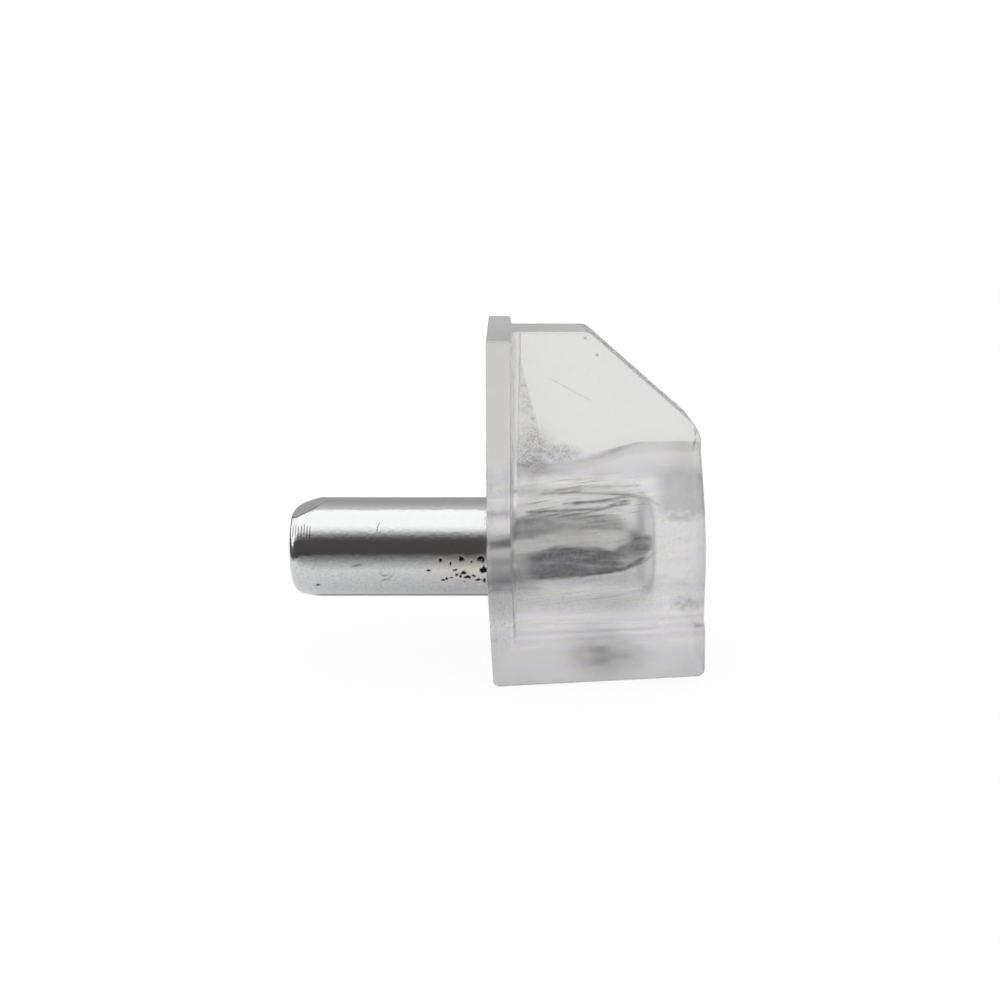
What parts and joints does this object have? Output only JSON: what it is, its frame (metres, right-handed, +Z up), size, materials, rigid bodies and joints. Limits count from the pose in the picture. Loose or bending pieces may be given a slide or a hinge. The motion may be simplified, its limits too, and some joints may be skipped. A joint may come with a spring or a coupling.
{
  "type": "shelf support pin",
  "caption": "Clear plastic shelf support with a web, a rounded boss and a flat foot, held by a plain steel pin that plugs into a drilled hole in a cabinet side.",
  "frame": {"origin": "where the axis of the pin crosses the upright face that lies on the cabinet wall", "axes": "-X along the pin into the wall, +Z up from the foot to the top of the web, +Y across the width; in use the part is turned over about the pin, so that the foot is on top and carries the shelf"},
  "size_m": [0.0202, 0.011, 0.0164],
  "materials": {
    "clear_plastic": "clear moulded plastic, faintly frosted faces",
    "plated_steel": "bright plating over turned steel, small pits and marks"
  },
  "bodies": {
    "root": {"support_body": "clear_plastic", "steel_pin": "plated_steel"}
  },
  "joints": []
}
